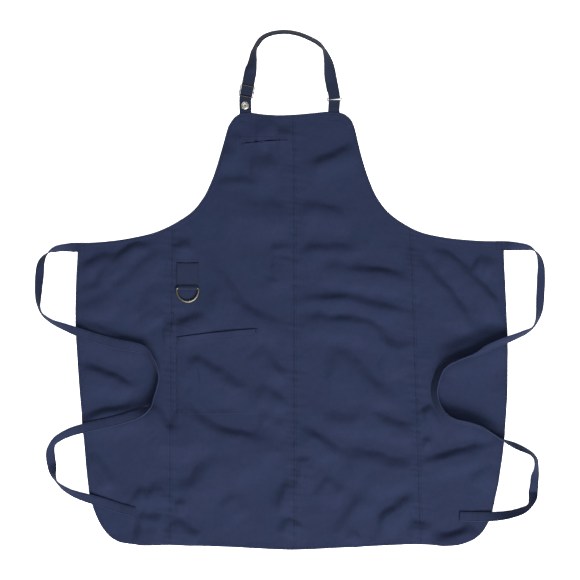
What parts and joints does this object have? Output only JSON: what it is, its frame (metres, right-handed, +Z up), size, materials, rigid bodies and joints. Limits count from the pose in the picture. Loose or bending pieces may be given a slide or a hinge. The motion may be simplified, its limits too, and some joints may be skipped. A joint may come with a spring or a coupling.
{
  "type": "welding apron",
  "caption": "Full-length bib apron laid flat: panelled twill body, neck strap with a snap, a slider and a ring, waist ties, slit pen pocket, patch pocket and D-ring tab.",
  "frame": {"origin": "on the table, under the middle of the apron laid flat on its back with its ties and neck strap spread", "axes": "+Z up out of the apron's front, +Y from the hem towards the neck strap, +X towards the right-hand side seen from the front"},
  "size_m": [1.0216, 1.0408, 0.0252],
  "materials": {
    "navy_twill": "matte",
    "tie_tape": "matte",
    "neck_webbing": "matte",
    "nickel": "satin",
    "dark_wire": "satin",
    "antique_brass": "satin"
  },
  "bodies": {
    "apron": {"side_panel_left": "navy_twill", "front_panel_left": "navy_twill", "front_panel_right": "navy_twill", "side_panel_right": "navy_twill", "bib_facing": "navy_twill", "armhole_binding_left": "navy_twill", "armhole_binding_right": "navy_twill", "side_hem_left": "navy_twill", "side_hem_right": "navy_twill", "bottom_hem": "navy_twill", "pen_pocket_bag": "navy_twill", "pen_pocket_welt_1": "navy_twill", "pen_pocket_welt_2": "navy_twill", "pen_pocket_welt_3": "navy_twill", "patch_pocket": "navy_twill", "ring_tab": "navy_twill", "tie_root_left": "tie_tape", "tie_root_right": "tie_tape", "neck_tab_base_left": "neck_webbing", "neck_tab_base_right": "neck_webbing"},
    "neck_loop": {"neck_tab_left": "neck_webbing", "snap_stud": "nickel", "neck_strap": "neck_webbing", "neck_ring": "dark_wire", "neck_tab_right": "neck_webbing"},
    "snap_flap": {"snap_flap": "neck_webbing", "snap_socket": "nickel", "snap_cap": "nickel"},
    "strap_slider": {"strap_slider": "dark_wire"},
    "d_ring": {"d_ring": "antique_brass"},
    "waist_tie_left": {"waist_tie_left": "tie_tape"},
    "waist_tie_right": {"waist_tie_right": "tie_tape"}
  },
  "joints": [
    {"name": "neck_loop_fold", "type": "hinge", "parent": "apron", "child": "neck_loop", "pos_m": [-0.08845, 0.35692, 0.0017], "axis": [0.9999, 0.0113, 0], "range_deg": [0, 115]},
    {"name": "snap_flap_open", "type": "hinge", "parent": "neck_loop", "child": "snap_flap", "pos_m": [-0.08925, 0.38112, 0.0054], "axis": [-0.9822, 0.1881, 0], "range_deg": [0, 105]},
    {"name": "strap_slider_adjust", "type": "slide", "parent": "neck_loop", "child": "strap_slider", "axis": [0.1881, 0.9822, 0], "range_m": [0, 0.02]},
    {"name": "d_ring_swing", "type": "hinge", "parent": "apron", "child": "d_ring", "pos_m": [-0.20445, 0.00292, 0.006], "axis": [-1, 0, 0], "range_deg": [0, 150]},
    {"name": "waist_tie_left_lift", "type": "hinge", "parent": "apron", "child": "waist_tie_left", "pos_m": [-0.42755, 0.09492, 0.0012], "axis": [-1, 0, 0], "range_deg": [0, 110]},
    {"name": "waist_tie_right_lift", "type": "hinge", "parent": "apron", "child": "waist_tie_right", "pos_m": [0.42965, 0.09812, 0.0012], "axis": [-1, 0, 0], "range_deg": [0, 110]}
  ]
}
